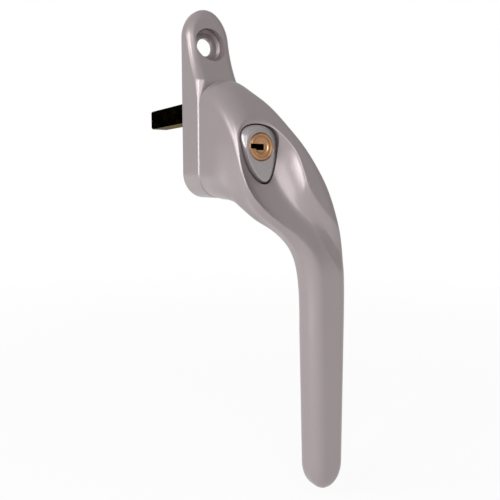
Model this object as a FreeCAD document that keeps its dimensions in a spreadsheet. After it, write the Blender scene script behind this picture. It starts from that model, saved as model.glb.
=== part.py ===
import FreeCAD, Part
import math
import os
import re

# A cranked casement window fastener with a key-locked push button.
# Millimetres. X is to the right seen from the room, Z is up and the room is on -Y.
# The origin is the spindle's axis in the mounting face. "Forward" is the distance
# in front of that face, so a point forward by p has Y = -p.

os.makedirs("parts", exist_ok=True)
doc = FreeCAD.newDocument("WindowFastener")

# Driving dimensions
SIZES = {
    # base
    "baseHalfWidth": 8.0,
    "baseTop": 33.7,
    "topRiseMore": 1.8,
    "topTipLess": 1.4,
    "baseBottom": 30.0,
    "bottomRiseMore": 0.4,
    "bottomTipLess": 0.4,
    "baseDepth": 12.2,
    "baseEdge": 0.8,
    "flareStart": 2.5,
    "flareRadius": 3.4,
    "tabStart": 8.8,
    "tabMidHeight": 17.0,
    "tabMidDepth": 7.7,
    "tabEndDepth": 4.2,
    "tabEdge": 1.4,
    "baseWall": 1.2,
    "baseFloor": 4.3,
    "springBayTop": 5.0,
    # fixing holes
    "fixingSpacing": 43.0,
    "fixingHoleRadius": 3.0,
    "fixingHeadRadius": 5.6,
    "fixingSeat": 1.3,
    # rear cover
    "coverThickness": 0.8,
    "coverFit": 0.05,
    "coverReach": 15.4,
    "coverBore": 5.6,
    "coverCorner": 1.5,
    # hub and bush
    "hubRadius": 5.7,
    "hubEnd": 4.5,
    "bushFit": 0.06,
    "bushWall": 0.85,
    "flangeWall": 0.8,
    "flangeThickness": 0.9,
    "flangeProud": 0.15,
    # spindle
    "spindleSide": 7.0,
    "spindleCorner": 0.5,
    "spindleReach": 40.0,
    "spindleFront": 15.5,
    "spindleTip": 0.8,
    "squareFit": 0.03,
    "crossPinRadius": 1.25,
    "crossPinDepth": 8.3,
    "crossPinShort": 0.15,
    # detent
    "camWallGap": 0.2,
    "camFlat": 0.8,
    "camThickness": 2.4,
    "camGap": 0.05,
    "clipThickness": 0.6,
    "clipRadius": 5.3,
    "clipGap": 0.05,
    "plungerWidth": 5.0,
    "plungerSideGap": 0.15,
    "plungerLength": 3.2,
    "plungerLift": 0.1,
    "plungerSpigot": 0.7,
    "spigotFit": 0.08,
    "spigotRoot": 0.5,
    "springWire": 0.22,
    "springRadius": 1.15,
    "springTurns": 3.0,
    "springSeatGap": 0.05,
    # lever
    "leverGap": 0.3,
    "leverEdge": 0.7,
    "leverRootTop": 8.0,
    "gripCentre": 23.9,
    "gripEndCentre": 24.7,
    "gripHalfWidth": 7.2,
    "gripEndHalfWidth": 6.4,
    "gripRear": 32.5,
    "gripThickness": 11.0,
    "gripCorner": 4.3,
    "gripStart": 73.0,
    "gripEndStart": 118.0,
    "gripEndRise": 10.2,
    # thumb recess
    "scoopX": 4.5,
    "scoopDrop": 22.0,
    "scoopFloor": 32.8,
    "scoopAcross": 13.7,
    "scoopAlong": 31.8,
    "scoopSlope": 12.5,
    "scoopLean": 20.0,
    "scoopBands": 20.0,
    # lock
    "lockX": 1.4,
    "lockDrop": 13.9,
    "lockFace": 36.0,
    "buttonHeadRise": 0.6,
    "buttonRadius": 6.1,
    "buttonToeX": 3.0,
    "buttonToeDrop": 22.4,
    "buttonToeRadius": 2.7,
    "buttonDepth": 5.5,
    "buttonEdge": 1.2,
    "buttonGap": 0.35,
    "pocketFloor": 23.1,
    "pocketClear": 1.0,
    "barrelRadius": 5.0,
    "barrelEnd": 21.35,
    "barrelFit": 0.04,
    "sleeveWall": 0.8,
    "sleeveFront": 22.9,
    "sleeveRear": 17.75,
    "plugRadius": 4.0,
    "plugFit": 0.04,
    "plugLength": 12.5,
    "keywayWidth": 1.9,
    "keywayLeft": 3.75,
    "keywayRight": 1.5,
    "keywayDepth": 11.0,
    "faceDishRadius": 2.2,
    "faceDishDepth": 0.35,
    "plugGrooveRadius": 3.4,
    "plugGrooveFront": 25.9,
    "plugGrooveWidth": 1.3,
    "plugPinRadius": 0.5,
    "plugPinShort": 0.08,
    "boltRadius": 1.8,
    "boltFront": 22.35,
    "boltRear": 13.0,
    "boltHoleGap": 0.35,
    "boltHoleDepth": 5.4,
    "clipPocketRadius": 4.2,
    "clipPocketFront": 16.75,
    "stopClipFront": 16.7,
    "stopClipThickness": 0.5,
    "stopClipRadius": 3.5,
    "boltGrooveRadius": 1.3,
    # wafers in the plug
    "waferCount": 5.0,
    "waferPitch": 1.7,
    "waferThickness": 0.5,
    "waferGap": 0.05,
    "waferWidth": 4.4,
    "waferHalfLength": 3.3,
    "waferFirst": 3.0,
    # button spring and stop
    "returnWire": 0.3,
    "returnInnerGap": 0.35,
    "returnTurns": 3.0,
    "returnSeatGap": 0.05,
}

sheet = doc.addObject("Spreadsheet::Sheet", "Sizes")
for row, (alias, number) in enumerate(SIZES.items(), start=1):
    sheet.set("A%d" % row, alias)
    sheet.set("B%d" % row, str(number))
    sheet.setAlias("B%d" % row, alias)
doc.recompute()


class Size:
    """Reads a driving dimension from the sheet by its name."""

    def __getattr__(self, alias):
        return float(sheet.get(alias))


size = Size()
forward = FreeCAD.Rotation(FreeCAD.Vector(1, 0, 0), 90)


def at(x, z, p):
    """Point at x across, z up and p forward of the mounting face."""
    return FreeCAD.Vector(x, -p, z)


def bind(item, prop, text):
    """Ties a property to the sheet: each size named in the text is read from its cell."""
    names = lambda m: "Sizes." + m.group(0) if m.group(0) in SIZES else m.group(0)
    item.setExpression(prop, re.sub(r"[A-Za-z_]\w*", names, text))


def place(item, x, z, p):
    item.Placement = FreeCAD.Placement(FreeCAD.Vector(0, 0, 0), forward)
    bind(item, "Placement.Base.x", x)
    bind(item, "Placement.Base.y", "-(%s)" % p)
    bind(item, "Placement.Base.z", z)


def rod(name, radius, rear, front, x="0", z="0"):
    """Cylinder along the spindle's direction, from rear to front."""
    item = doc.addObject("Part::Cylinder", name)
    bind(item, "Radius", radius)
    bind(item, "Height", "(%s) - (%s)" % (front, rear))
    place(item, x, z, rear)
    return item


def block(name, width, height, rear, front, x="0", z="0"):
    """Box centred on x and z, from rear to front."""
    item = doc.addObject("Part::Box", name)
    bind(item, "Length", width)
    bind(item, "Width", height)
    bind(item, "Height", "(%s) - (%s)" % (front, rear))
    place(item, "(%s) - (%s) / 2" % (x, width), "(%s) - (%s) / 2" % (z, height), rear)
    return item


def cut(name, base, *tools):
    """The base less its tools."""
    tool = tools[0]
    if len(tools) > 1:
        tool = doc.addObject("Part::MultiFuse", name + "Tools")
        tool.Shapes = list(tools)
    item = doc.addObject("Part::Cut", name)
    item.Base = base
    item.Tool = tool
    return item


def fuse(name, *items):
    item = doc.addObject("Part::MultiFuse", name)
    item.Shapes = list(items)
    return item


def common(name, *items):
    item = doc.addObject("Part::MultiCommon", name)
    item.Shapes = list(items)
    return item


def feature(name, shape):
    """A shape made with Part's own functions."""
    item = doc.addObject("Part::Feature", name)
    item.Shape = shape
    return item


def rounded(name, item, radius, pick):
    """Rounds the edges of an item that the pick function accepts."""
    doc.recompute()
    rows = [(i, radius, radius) for i, e in enumerate(item.Shape.Edges, start=1) if pick(e)]
    result = doc.addObject("Part::Fillet", name)
    result.Base = item
    result.Edges = rows
    doc.recompute()
    return result


def inForward(edge, near, far):
    """True where an edge lies between two distances in front of the mounting face."""
    box = edge.BoundBox
    return -box.YMax >= near and -box.YMin <= far


# Outlines
def sweptForward(edges, rear, front):
    """Solid of a closed outline drawn at the mounting face, from rear to front."""
    wire = Part.Wire(Part.__sortEdges__(edges))
    face = Part.Face(wire)
    solid = face.extrude(at(0, 0, front - rear))
    solid.translate(at(0, 0, rear))
    return solid


def dome(halfWidth, rise, tipRadius, start, upward):
    """Three arcs that close one end of the base: two flat ones and a rounder tip."""
    reach = rise - tipRadius
    sideRadius = (halfWidth ** 2 + reach ** 2 - tipRadius ** 2) / (2 * (halfWidth - tipRadius))
    sign = 1 if upward else -1
    angle = math.atan2(reach, sideRadius - halfWidth)

    def onSide(turn):
        x = halfWidth - sideRadius + sideRadius * math.cos(turn)
        return x, start + sign * sideRadius * math.sin(turn)

    midX, midZ = onSide(angle / 2)
    endX, endZ = onSide(angle)
    right = Part.Arc(at(halfWidth, start, 0), at(midX, midZ, 0), at(endX, endZ, 0))
    tip = Part.Arc(at(endX, endZ, 0), at(0, start + sign * rise, 0), at(-endX, endZ, 0))
    left = Part.Arc(at(-endX, endZ, 0), at(-midX, midZ, 0), at(-halfWidth, start, 0))
    return [right.toShape(), tip.toShape(), left.toShape()]


def baseOutline():
    """Outline of the base, its sides split where the edge rounding starts to grow."""
    half = size.baseHalfWidth
    topRise = half + size.topRiseMore
    bottomRise = half + size.bottomRiseMore
    high = size.baseTop - topRise
    low = -size.baseBottom + bottomRise
    edges = dome(half, topRise, half - size.topTipLess, high, True)
    edges += dome(half, bottomRise, half - size.bottomTipLess, low, False)
    for x in (half, -half):
        edges.append(Part.makeLine(at(x, low, 0), at(x, size.flareStart, 0)))
        edges.append(Part.makeLine(at(x, size.flareStart, 0), at(x, high, 0)))
    return edges


def teardrop(extra):
    """Outline of the push button: a large and a small circle with their outer tangents."""
    head = at(size.lockX, -size.lockDrop + size.buttonHeadRise, 0)
    toe = at(size.buttonToeX, -size.buttonToeDrop, 0)
    headRadius = size.buttonRadius + extra
    toeRadius = size.buttonToeRadius + extra
    along = toe - head
    lean = math.atan2(along.z, along.x)
    spread = math.acos((headRadius - toeRadius) / along.Length)

    def onCircle(centre, radius, angle):
        return centre + at(radius * math.cos(angle), radius * math.sin(angle), 0)

    leftAngle = lean - spread
    rightAngle = lean + spread
    headLeft = onCircle(head, headRadius, leftAngle)
    headRight = onCircle(head, headRadius, rightAngle)
    headFar = onCircle(head, headRadius, lean + math.pi)
    toeLeft = onCircle(toe, toeRadius, leftAngle)
    toeRight = onCircle(toe, toeRadius, rightAngle)
    toeFar = onCircle(toe, toeRadius, lean)
    return [
        Part.Arc(headLeft, headFar, headRight).toShape(),
        Part.makeLine(headRight, toeRight),
        Part.Arc(toeRight, toeFar, toeLeft).toShape(),
        Part.makeLine(toeLeft, headLeft),
    ]


# Base
def makeBase():
    """Die-cast base: a block under the lever and a tab that slopes back to the top fixing."""
    half = size.baseHalfWidth
    solid = sweptForward(baseOutline(), 0.0, size.baseDepth)
    rampStart = at(-half - 1, size.tabStart, size.baseDepth)
    rampMiddle = at(-half - 1, size.tabMidHeight, size.tabMidDepth)
    rampEnd = at(-half - 1, size.baseTop + 1, size.tabEndDepth)
    above = at(-half - 1, size.baseTop + 1, size.baseDepth + 1)
    aboveStart = at(-half - 1, size.tabStart, size.baseDepth + 1)
    profile = Part.Wire([
        Part.Arc(rampStart, rampMiddle, rampEnd).toShape(),
        Part.makeLine(rampEnd, above),
        Part.makeLine(above, aboveStart),
        Part.makeLine(aboveStart, rampStart),
    ])
    return solid.cut(Part.Face(profile).extrude(FreeCAD.Vector(2 * half + 2, 0, 0)))


def baseRounding(edge):
    """Radii at the ends of one outer edge: fine at the parting, fuller where the tab rises."""
    box = edge.BoundBox
    if -box.YMax < size.tabEndDepth - 1 or box.ZLength < 0.01:
        return None
    if box.ZMax < size.flareStart + 0.01:
        return size.baseEdge, size.baseEdge
    if box.ZMax < size.tabStart + 0.01:
        low, high = size.baseEdge, size.flareRadius
    elif box.ZMin < size.tabStart + 0.01:
        low, high = size.flareRadius, size.tabEdge
    else:
        return size.tabEdge, size.tabEdge
    first = edge.valueAt(edge.FirstParameter)
    last = edge.valueAt(edge.LastParameter)
    return (low, high) if first.z < last.z else (high, low)


fixing = "fixingSpacing / 2"
baseBlank = feature("base_blank", makeBase())
baseRows = []
for number, edge in enumerate(baseBlank.Shape.Edges, start=1):
    radii = baseRounding(edge)
    if radii:
        baseRows.append((number,) + radii)
baseBody = doc.addObject("Part::Fillet", "base_casting")
baseBody.Base = baseBlank
baseBody.Edges = baseRows
bayHalf = "baseHalfWidth - baseWall"
hollow = block("base_hollow", "2 * (%s)" % bayHalf, "2 * coverReach", "0", "baseFloor")
springBay = block("base_spring_bay", "plungerWidth + 2 * plungerSideGap", "2 * coverReach",
                  "0", "springBayTop")
bearingBore = rod("base_bore", "hubRadius + bushFit + bushWall", "0", "baseDepth + 1")
flangeSeat = rod("base_flange_seat", "baseHalfWidth - flangeWall", "baseDepth - flangeThickness",
                 "baseDepth + 1")
fixingTools = []
for side, sign in (("upper", ""), ("lower", "-")):
    height = "%s(%s)" % (sign, fixing)
    fixingTools.append(rod("fixing_hole_" + side, "fixingHoleRadius", "-1", "baseDepth + 1",
                           z=height))
    fixingTools.append(rod("fixing_head_" + side, "fixingHeadRadius", "fixingSeat",
                           "baseDepth + 1", z=height))
boltHole = rod("bolt_hole", "boltRadius + boltHoleGap", "baseDepth - boltHoleDepth",
               "baseDepth + 1", "lockX", "-lockDrop")
basePlate = cut("base_plate", baseBody, hollow, springBay, bearingBore, flangeSeat,
                boltHole, *fixingTools)

# Bush that the lever's hub turns in
bushTube = rod("bush_tube", "hubRadius + bushFit + bushWall", "baseFloor", "baseDepth")
bushFlange = rod("bush_flange", "baseHalfWidth - flangeWall", "baseDepth - flangeThickness",
                 "baseDepth + flangeProud")
bushBore = rod("bush_bore", "hubRadius + bushFit", "baseFloor - 1", "baseDepth + 1")
bearingBush = cut("bearing_bush", fuse("bush_body", bushTube, bushFlange), bushBore)

# Rear cover
coverPlate = rounded("rear_cover_plate",
                     block("rear_cover_blank", "2 * (%s - coverFit)" % bayHalf,
                           "2 * (coverReach - coverFit)", "0", "coverThickness"),
                     size.coverCorner, lambda e: e.BoundBox.YLength > 0.5)
coverHole = rod("rear_cover_hole", "coverBore", "-1", "coverThickness + 1")
rearCover = cut("rear_cover", coverPlate, coverHole)


# Spindle
def makeSpindle():
    """Square bar with broken corners and a chamfered tip."""
    half = size.spindleSide / 2
    reach = size.spindleReach
    bar = Part.makeBox(2 * half, reach + size.spindleFront, 2 * half,
                       FreeCAD.Vector(-half, -size.spindleFront, -half))
    long = [e for e in bar.Edges if e.BoundBox.YLength > reach]
    bar = bar.makeChamfer(size.spindleCorner, long)
    tip = [e for e in bar.Edges if e.BoundBox.YMin > reach - 0.01]
    return bar.makeChamfer(size.spindleTip, tip)


spindleBar = feature("spindle_bar", makeSpindle())
pinHole = doc.addObject("Part::Cylinder", "cross_pin_hole")
bind(pinHole, "Radius", "crossPinRadius")
bind(pinHole, "Height", "4 * hubRadius")
pinHole.Placement.Rotation = FreeCAD.Rotation(FreeCAD.Vector(0, 1, 0), 90)
bind(pinHole, "Placement.Base.x", "-2 * hubRadius")
bind(pinHole, "Placement.Base.y", "-crossPinDepth")
spindle = cut("spindle", spindleBar, pinHole)

# Cross pin through the hub and the spindle
spindlePin = doc.addObject("Part::Cylinder", "spindle_pin")
bind(spindlePin, "Radius", "crossPinRadius")
bind(spindlePin, "Height", "2 * (hubRadius - crossPinShort)")
spindlePin.Placement.Rotation = FreeCAD.Rotation(FreeCAD.Vector(0, 1, 0), 90)
bind(spindlePin, "Placement.Base.x", "-(hubRadius - crossPinShort)")
bind(spindlePin, "Placement.Base.y", "-crossPinDepth")

# Detent cam and the clip that holds it on the spindle
camFront = "baseFloor - camGap"
camRear = "baseFloor - camGap - camThickness"
camRadius = "(%s - camWallGap)" % bayHalf
camSide = "2 * (%s - camFlat)" % camRadius
camSquare = block("cam_square", camSide, camSide, camRear, camFront)
camRound = rod("cam_round", camRadius, camRear, camFront)
camHole = block("cam_hole", "spindleSide + 2 * squareFit", "spindleSide + 2 * squareFit",
                "%s - 1" % camRear, "%s + 1" % camFront)
detentCam = cut("detent_cam", common("cam_blank", camSquare, camRound), camHole)

clipFront = "baseFloor - camGap - camThickness - clipGap"
clipBlank = rod("clip_blank", "clipRadius", "%s - clipThickness" % clipFront, clipFront)
clipHole = block("clip_hole", "spindleSide + 2 * squareFit", "spindleSide + 2 * squareFit",
                 "0", "baseFloor")
retainingClip = cut("retaining_clip", clipBlank, clipHole)


# Detent plungers and their springs
def coil(wire, radius, turns, length):
    """Spring along Z: a five-sided wire on arcs of half a turn, each climbing half a pitch."""
    climb = length - 2 * wire
    halves = int(round(2 * turns))

    def onHelix(half):
        angle = math.pi * half
        return FreeCAD.Vector(radius * math.cos(angle), radius * math.sin(angle),
                              wire + climb * half / halves)

    arcs = [Part.Arc(onHelix(i), onHelix(i + 0.5), onHelix(i + 1)).toShape()
            for i in range(halves)]
    sides = []
    for i in range(6):
        angle = math.radians(72 * i)
        sides.append(FreeCAD.Vector(radius + wire * math.cos(angle), 0,
                                    wire + wire * math.sin(angle)))
    return Part.Wire(arcs).makePipeShell([Part.makePolygon(sides)], True, False)


camReach = size.baseHalfWidth - size.baseWall - size.camWallGap + size.plungerLift
bayEnd = size.coverReach
plungerMid = "baseFloor - camGap - camThickness / 2"
for side, sign in (("upper", 1), ("lower", -1)):
    name = "detent_plunger_" + side
    inner = "%d * (%s + plungerLift + plungerLength / 2)" % (sign, camRadius)
    body = block(name + "_block", "plungerWidth", "plungerLength",
                 "%s - camThickness / 2" % plungerMid, "%s + camThickness / 2" % plungerMid,
                 z=inner)
    spigot = doc.addObject("Part::Cylinder", name + "_spigot")
    bind(spigot, "Radius", "springRadius - springWire - spigotFit")
    bind(spigot, "Height", "plungerSpigot + spigotRoot")
    spigot.Placement.Rotation = FreeCAD.Rotation(FreeCAD.Vector(1, 0, 0), 0 if sign > 0 else 180)
    bind(spigot, "Placement.Base.z",
         "%d * (%s + plungerLift + plungerLength - spigotRoot)" % (sign, camRadius))
    bind(spigot, "Placement.Base.y", "-(%s)" % plungerMid)
    fuse(name, body, spigot)
    start = camReach + size.plungerLength + size.springSeatGap
    length = bayEnd - size.springSeatGap - start
    spring = feature("detent_spring_" + side,
                     coil(size.springWire, size.springRadius, size.springTurns, length))
    middle = size.baseFloor - size.camGap - size.camThickness / 2
    spring.Placement = FreeCAD.Placement(
        at(0, sign * start, middle),
        FreeCAD.Rotation(FreeCAD.Vector(1, 0, 0), 0 if sign > 0 else 180))


# Lever
def corner(before, point, after, radius):
    """Curve that rounds one corner of a section, nearly a circle's arc."""
    inward = (before - point).normalize()
    outward = (after - point).normalize()
    opening = math.acos(max(-1.0, min(1.0, inward.dot(outward))))
    setback = radius / math.tan(opening / 2)
    reach = setback - radius * 4 / 3 * math.tan((math.pi - opening) / 4)
    curve = Part.BezierCurve()
    curve.setPoles([point + inward * setback, point + inward * reach,
                    point + outward * reach, point + outward * setback])
    return curve


def section(points, radius):
    """Closed four-sided section with rounded corners."""
    curves = []
    for i, point in enumerate(points):
        curves.append(corner(points[i - 1], point, points[(i + 1) % len(points)], radius))
    edges = []
    for i, curve in enumerate(curves):
        following = curves[(i + 1) % len(curves)]
        edges.append(curve.toShape())
        edges.append(Part.makeLine(curve.getPoles()[-1], following.getPoles()[0]))
    return Part.Wire(edges)


def rootStation(inset, depth):
    """Corners of the lever's foot, which matches the lower part of the base, and its radius."""
    half = size.baseHalfWidth - inset
    top = size.leverRootTop - inset
    low = -size.baseBottom + inset
    return [(-half, top, depth), (half, top, depth), (half, low, depth), (-half, low, depth),
            half - 0.05]


def gripStation(centre, drop, halfWidth, halfDepth, radius):
    """Corners of a level section across the grip, and its radius."""
    middle = size.gripRear + size.gripThickness / 2
    front = middle + halfDepth
    rear = middle - halfDepth
    return [(centre - halfWidth, -drop, front), (centre + halfWidth, -drop, front),
            (centre + halfWidth, -drop, rear), (centre - halfWidth, -drop, rear), radius]


def blend(stations, steps):
    """Sections through the stations and between them, each corner on its own smooth track."""
    tracks = []
    for i in range(4):
        curve = Part.BSplineCurve()
        curve.interpolate(Points=[at(*corners[i]) for corners in stations],
                          Parameters=[float(n) for n in range(len(stations))])
        tracks.append(curve)
    sections = []
    for n in range((len(stations) - 1) * steps + 1):
        where = n / steps
        lower = min(int(where), len(stations) - 2)
        share = where - lower
        radius = stations[lower][4] * (1 - share) + stations[lower + 1][4] * share
        sections.append(section([curve.value(where) for curve in tracks], radius))
    return sections


def leverBody():
    """Foot, crank, grip and rounded end in one loft through rounded sections."""
    half = size.baseHalfWidth
    foot = size.baseDepth + size.leverGap
    edge = size.leverEdge
    depth = size.gripThickness / 2
    rear = size.gripRear
    rounding = size.gripCorner
    crank = [
        rootStation(0.0, foot + edge),
        # neck
        [(-half, 8.0, 18.5), (half + 0.2, 8.0, 18.5), (half + 0.2, -30.3, 17),
         (-half, -30.3, 17), half - 0.2],
        [(-half, 5.0, 24.0), (half + 1.2, 5.0, 24.0), (half + 1.2, -30.4, 21),
         (-half, -30.4, 21), half - 0.5],
        [(-half, 0.6, 29.0), (11.9, 0.7, 29.0), (12.0, -31.0, 25), (-7.0, -31.0, 25), 7.0],
        # shoulder round the lock
        [(-half, -5.2, 34.0), (15.2, -5.6, 33.6), (15.4, -32.2, 27.6), (-5.6, -31.8, 27.4), 6.5],
        [(-half, -12.0, 37.5), (19.0, -11.4, 36.8), (18.2, -34.0, 29.4), (-4.2, -33.0, 29.2),
         6.0],
        [(-half, -19.3, 39.9), (22.0, -17.3, 39.3), (20.9, -36.3, 30.7), (-1.4, -34.9, 30.5),
         5.4],
        # crank
        [(-6.8, -27.0, 41.6), (24.9, -23.4, 41.0), (23.3, -38.9, 31.6), (2.5, -37.3, 31.3), 4.9],
        [(-1.2, -33.6, 42.5), (26.8, -29.4, 42.1), (25.6, -42.1, 32.1), (7.7, -40.2, 31.9), 4.5],
        [(6.6, -39.7, 43.0), (28.6, -36.4, 42.8), (27.8, -46.5, 32.4), (12.5, -44.6, 32.3),
         rounding],
        [(12.9, -47.2, 43.3), (30.1, -45.0, 43.2), (29.9, -52.0, rear), (15.4, -51.0, rear),
         rounding],
        [(16.0, -58.5, 43.5), (30.9, -57.5, 43.5), (30.9, -61.5, rear), (16.5, -61.0, rear),
         rounding],
        gripStation(size.gripCentre, size.gripStart, size.gripHalfWidth, depth, rounding),
    ]
    sections = [section([at(*point) for point in corners[:4]], corners[4]) for corners in
                (rootStation(edge, foot), rootStation(edge * 0.3, foot + edge * 0.3))]
    sections += blend(crank, 2)
    for share in (0.0, 0.35, 0.6, 0.78, 0.91, 0.98):
        shrink = math.sqrt(1 - share ** 2.4)
        halfWidth = size.gripEndHalfWidth * shrink
        halfDepth = depth * (0.25 + 0.75 * shrink)
        corners = gripStation(size.gripEndCentre, size.gripEndStart + size.gripEndRise * share,
                              halfWidth, halfDepth,
                              min(rounding, 0.78 * min(halfWidth, halfDepth)))
        sections.append(section([at(*point) for point in corners[:4]], corners[4]))
    return Part.makeLoft(sections, True, True)


def scoop():
    """Lemon-shaped tool, in conical bands, that hollows the thumb recess round the button."""
    across = size.scoopAcross
    along = size.scoopAlong
    halfLength = math.sqrt(along ** 2 - (along - across) ** 2)
    reach = math.asin(halfLength / along)
    bands = int(size.scoopBands)
    points = [FreeCAD.Vector(0, 0, -halfLength)]
    for i in range(1, bands):
        turn = reach * (2 * i / bands - 1)
        points.append(FreeCAD.Vector(0, along - across - along * math.cos(turn),
                                     along * math.sin(turn)))
    points.append(FreeCAD.Vector(0, 0, halfLength))
    profile = Part.makePolygon(points + [points[0]])
    lemon = Part.Face(profile).revolve(FreeCAD.Vector(0, 0, 0), FreeCAD.Vector(0, 0, 1), 360)
    slope = FreeCAD.Rotation(FreeCAD.Vector(1, 0, 0), -size.scoopSlope)
    turned = slope.multiply(FreeCAD.Rotation(FreeCAD.Vector(0, 1, 0), -size.scoopLean))
    floor = at(size.scoopX, -size.scoopDrop, size.scoopFloor)
    lemon.Placement = FreeCAD.Placement(
        floor + turned.multVec(FreeCAD.Vector(0, -across, 0)), turned)
    return lemon


def leverShape():
    body = leverBody()
    hub = Part.makeCylinder(size.hubRadius, size.baseDepth + size.leverGap + 2 - size.hubEnd,
                            at(0, 0, size.hubEnd), at(0, 0, 1))
    body = body.fuse(hub)
    return body.cut(scoop())


leverBlank = feature("lever_casting", leverShape())
lockTools = [
    feature("button_pocket", sweptForward(teardrop(size.buttonGap), size.pocketFloor,
                                          size.gripRear + size.gripThickness
                                          + size.pocketClear)),
    rod("sleeve_bore", "barrelRadius + barrelFit + sleeveWall", "sleeveRear", "pocketFloor + 1",
        "lockX", "-lockDrop"),
    rod("bolt_passage", "boltRadius + boltHoleGap", "baseDepth", "sleeveRear + 1",
        "lockX", "-lockDrop"),
    rod("clip_pocket", "clipPocketRadius", "baseDepth", "clipPocketFront",
        "lockX", "-lockDrop"),
    block("spindle_socket", "spindleSide", "spindleSide", "hubEnd - 1", "spindleFront"),
]
lever = cut("lever", leverBlank, pinHole, *lockTools)

# Sleeve that guides the lock barrel
sleeveTube = rod("sleeve_tube", "barrelRadius + barrelFit + sleeveWall", "sleeveRear",
                 "sleeveFront", "lockX", "-lockDrop")
sleeveBore = rod("sleeve_inside", "barrelRadius + barrelFit", "sleeveRear - 1",
                 "sleeveFront + 1", "lockX", "-lockDrop")
barrelSleeve = cut("barrel_sleeve", sleeveTube, sleeveBore)

# Push button
buttonBlank = feature("button_blank", sweptForward(teardrop(0.0),
                                                   size.lockFace - size.buttonDepth,
                                                   size.lockFace))
buttonRound = rounded("button_round", buttonBlank, size.buttonEdge,
                      lambda e: inForward(e, size.lockFace - 0.01, size.lockFace + 0.01))
buttonBore = rod("button_bore", "barrelRadius", "lockFace - buttonDepth - 1", "lockFace + 1",
                 "lockX", "-lockDrop")
lockButton = cut("lock_button", buttonRound, buttonBore)

# Lock barrel
barrelBlank = rod("barrel_blank", "barrelRadius", "barrelEnd", "lockFace", "lockX", "-lockDrop")
barrelBore = rod("barrel_bore", "plugRadius + plugFit", "lockFace - plugLength - plugFit",
                 "lockFace + 1", "lockX", "-lockDrop")
boltSocket = rod("bolt_socket", "boltRadius", "barrelEnd - 1", "boltFront", "lockX", "-lockDrop")


def tangentPin(name, halfLength):
    """Pin across the barrel's wall that runs in the plug's groove."""
    item = doc.addObject("Part::Cylinder", name)
    bind(item, "Radius", "plugPinRadius")
    bind(item, "Height", "2 * (%s)" % halfLength)
    bind(item, "Placement.Base.x", "lockX + plugRadius")
    bind(item, "Placement.Base.y", "-(plugGrooveFront - plugGrooveWidth / 2)")
    bind(item, "Placement.Base.z", "-lockDrop - (%s)" % halfLength)
    return item


lockBarrel = cut("lock_barrel", barrelBlank, barrelBore, boltSocket,
                 tangentPin("plug_pin_hole", "barrelRadius"))
plugPin = tangentPin("plug_pin",
                     "sqrt(barrelRadius^2 - (plugRadius + plugPinRadius)^2) - plugPinShort")

# Locking bolt and the clip that stops the button
boltBlank = rod("bolt_blank", "boltRadius", "boltRear", "boltFront", "lockX", "-lockDrop")
stopRear = "stopClipFront - stopClipThickness"
grooveTube = cut("bolt_groove",
                 rod("bolt_groove_outer", "boltRadius + 1", stopRear, "stopClipFront",
                     "lockX", "-lockDrop"),
                 rod("bolt_groove_inner", "boltGrooveRadius", "0", "stopClipFront + 1",
                     "lockX", "-lockDrop"))
lockingBolt = cut("locking_bolt", boltBlank, grooveTube)
stopClip = cut("stop_clip",
               rod("stop_clip_disc", "stopClipRadius", stopRear, "stopClipFront",
                   "lockX", "-lockDrop"),
               rod("stop_clip_bore", "boltGrooveRadius", "0", "stopClipFront + 1",
                   "lockX", "-lockDrop"))

# Plug with its keyway
plugBlank = rod("plug_blank", "plugRadius", "lockFace - plugLength", "lockFace",
                "lockX", "-lockDrop")
keyway = block("keyway", "keywayLeft + keywayRight", "keywayWidth", "lockFace - keywayDepth",
               "lockFace + 1", "lockX + (keywayRight - keywayLeft) / 2", "-lockDrop")
faceDish = rod("face_dish", "faceDishRadius", "lockFace - faceDishDepth", "lockFace + 1",
               "lockX", "-lockDrop")
waferSlots = []
for i in range(int(size.waferCount)):
    rearFace = "lockFace - waferFirst - %d * waferPitch - waferThickness - waferGap" % i
    frontFace = "lockFace - waferFirst - %d * waferPitch + waferGap" % i
    waferSlots.append(block("wafer_slot_%d" % (i + 1), "2 * (waferHalfLength + waferGap)",
                            "waferWidth + 2 * waferGap", rearFace, frontFace,
                            "lockX", "-lockDrop"))
plugGroove = cut("plug_groove",
                 rod("plug_groove_outer", "plugRadius + 1", "plugGrooveFront - plugGrooveWidth",
                     "plugGrooveFront", "lockX", "-lockDrop"),
                 rod("plug_groove_inner", "plugGrooveRadius", "0", "plugGrooveFront + 1",
                     "lockX", "-lockDrop"))
lockPlug = cut("lock_plug", plugBlank, keyway, faceDish, plugGroove, *waferSlots)

# Wafers, one shape repeated behind the face
waferPieces = []
for i in range(int(size.waferCount)):
    front = "lockFace - waferFirst - %d * waferPitch" % i
    plate = block("wafer_plate_%d" % (i + 1), "2 * waferHalfLength", "waferWidth",
                  "%s - waferThickness" % front, front, "lockX", "-lockDrop")
    window = block("wafer_window_%d" % (i + 1), "keywayLeft + keywayRight - 1",
                   "keywayWidth + 0.2", "%s - waferThickness - 1" % front, "%s + 1" % front,
                   "lockX + (keywayRight - keywayLeft) / 2 + 0.3", "-lockDrop")
    waferPieces.append(cut("wafer_%d" % (i + 1), plate, window))
lockWafers = fuse("lock_wafers", *waferPieces)

# Return spring of the button
returnRadius = size.barrelRadius + size.returnWire + size.returnInnerGap
returnStart = size.pocketFloor + size.returnSeatGap
returnLength = size.lockFace - size.buttonDepth - size.returnSeatGap - returnStart
buttonSpring = feature("button_spring", coil(size.returnWire, returnRadius,
                                             size.returnTurns, returnLength))
buttonSpring.Placement = FreeCAD.Placement(at(size.lockX, -size.lockDrop, returnStart), forward)

doc.recompute()

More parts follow.
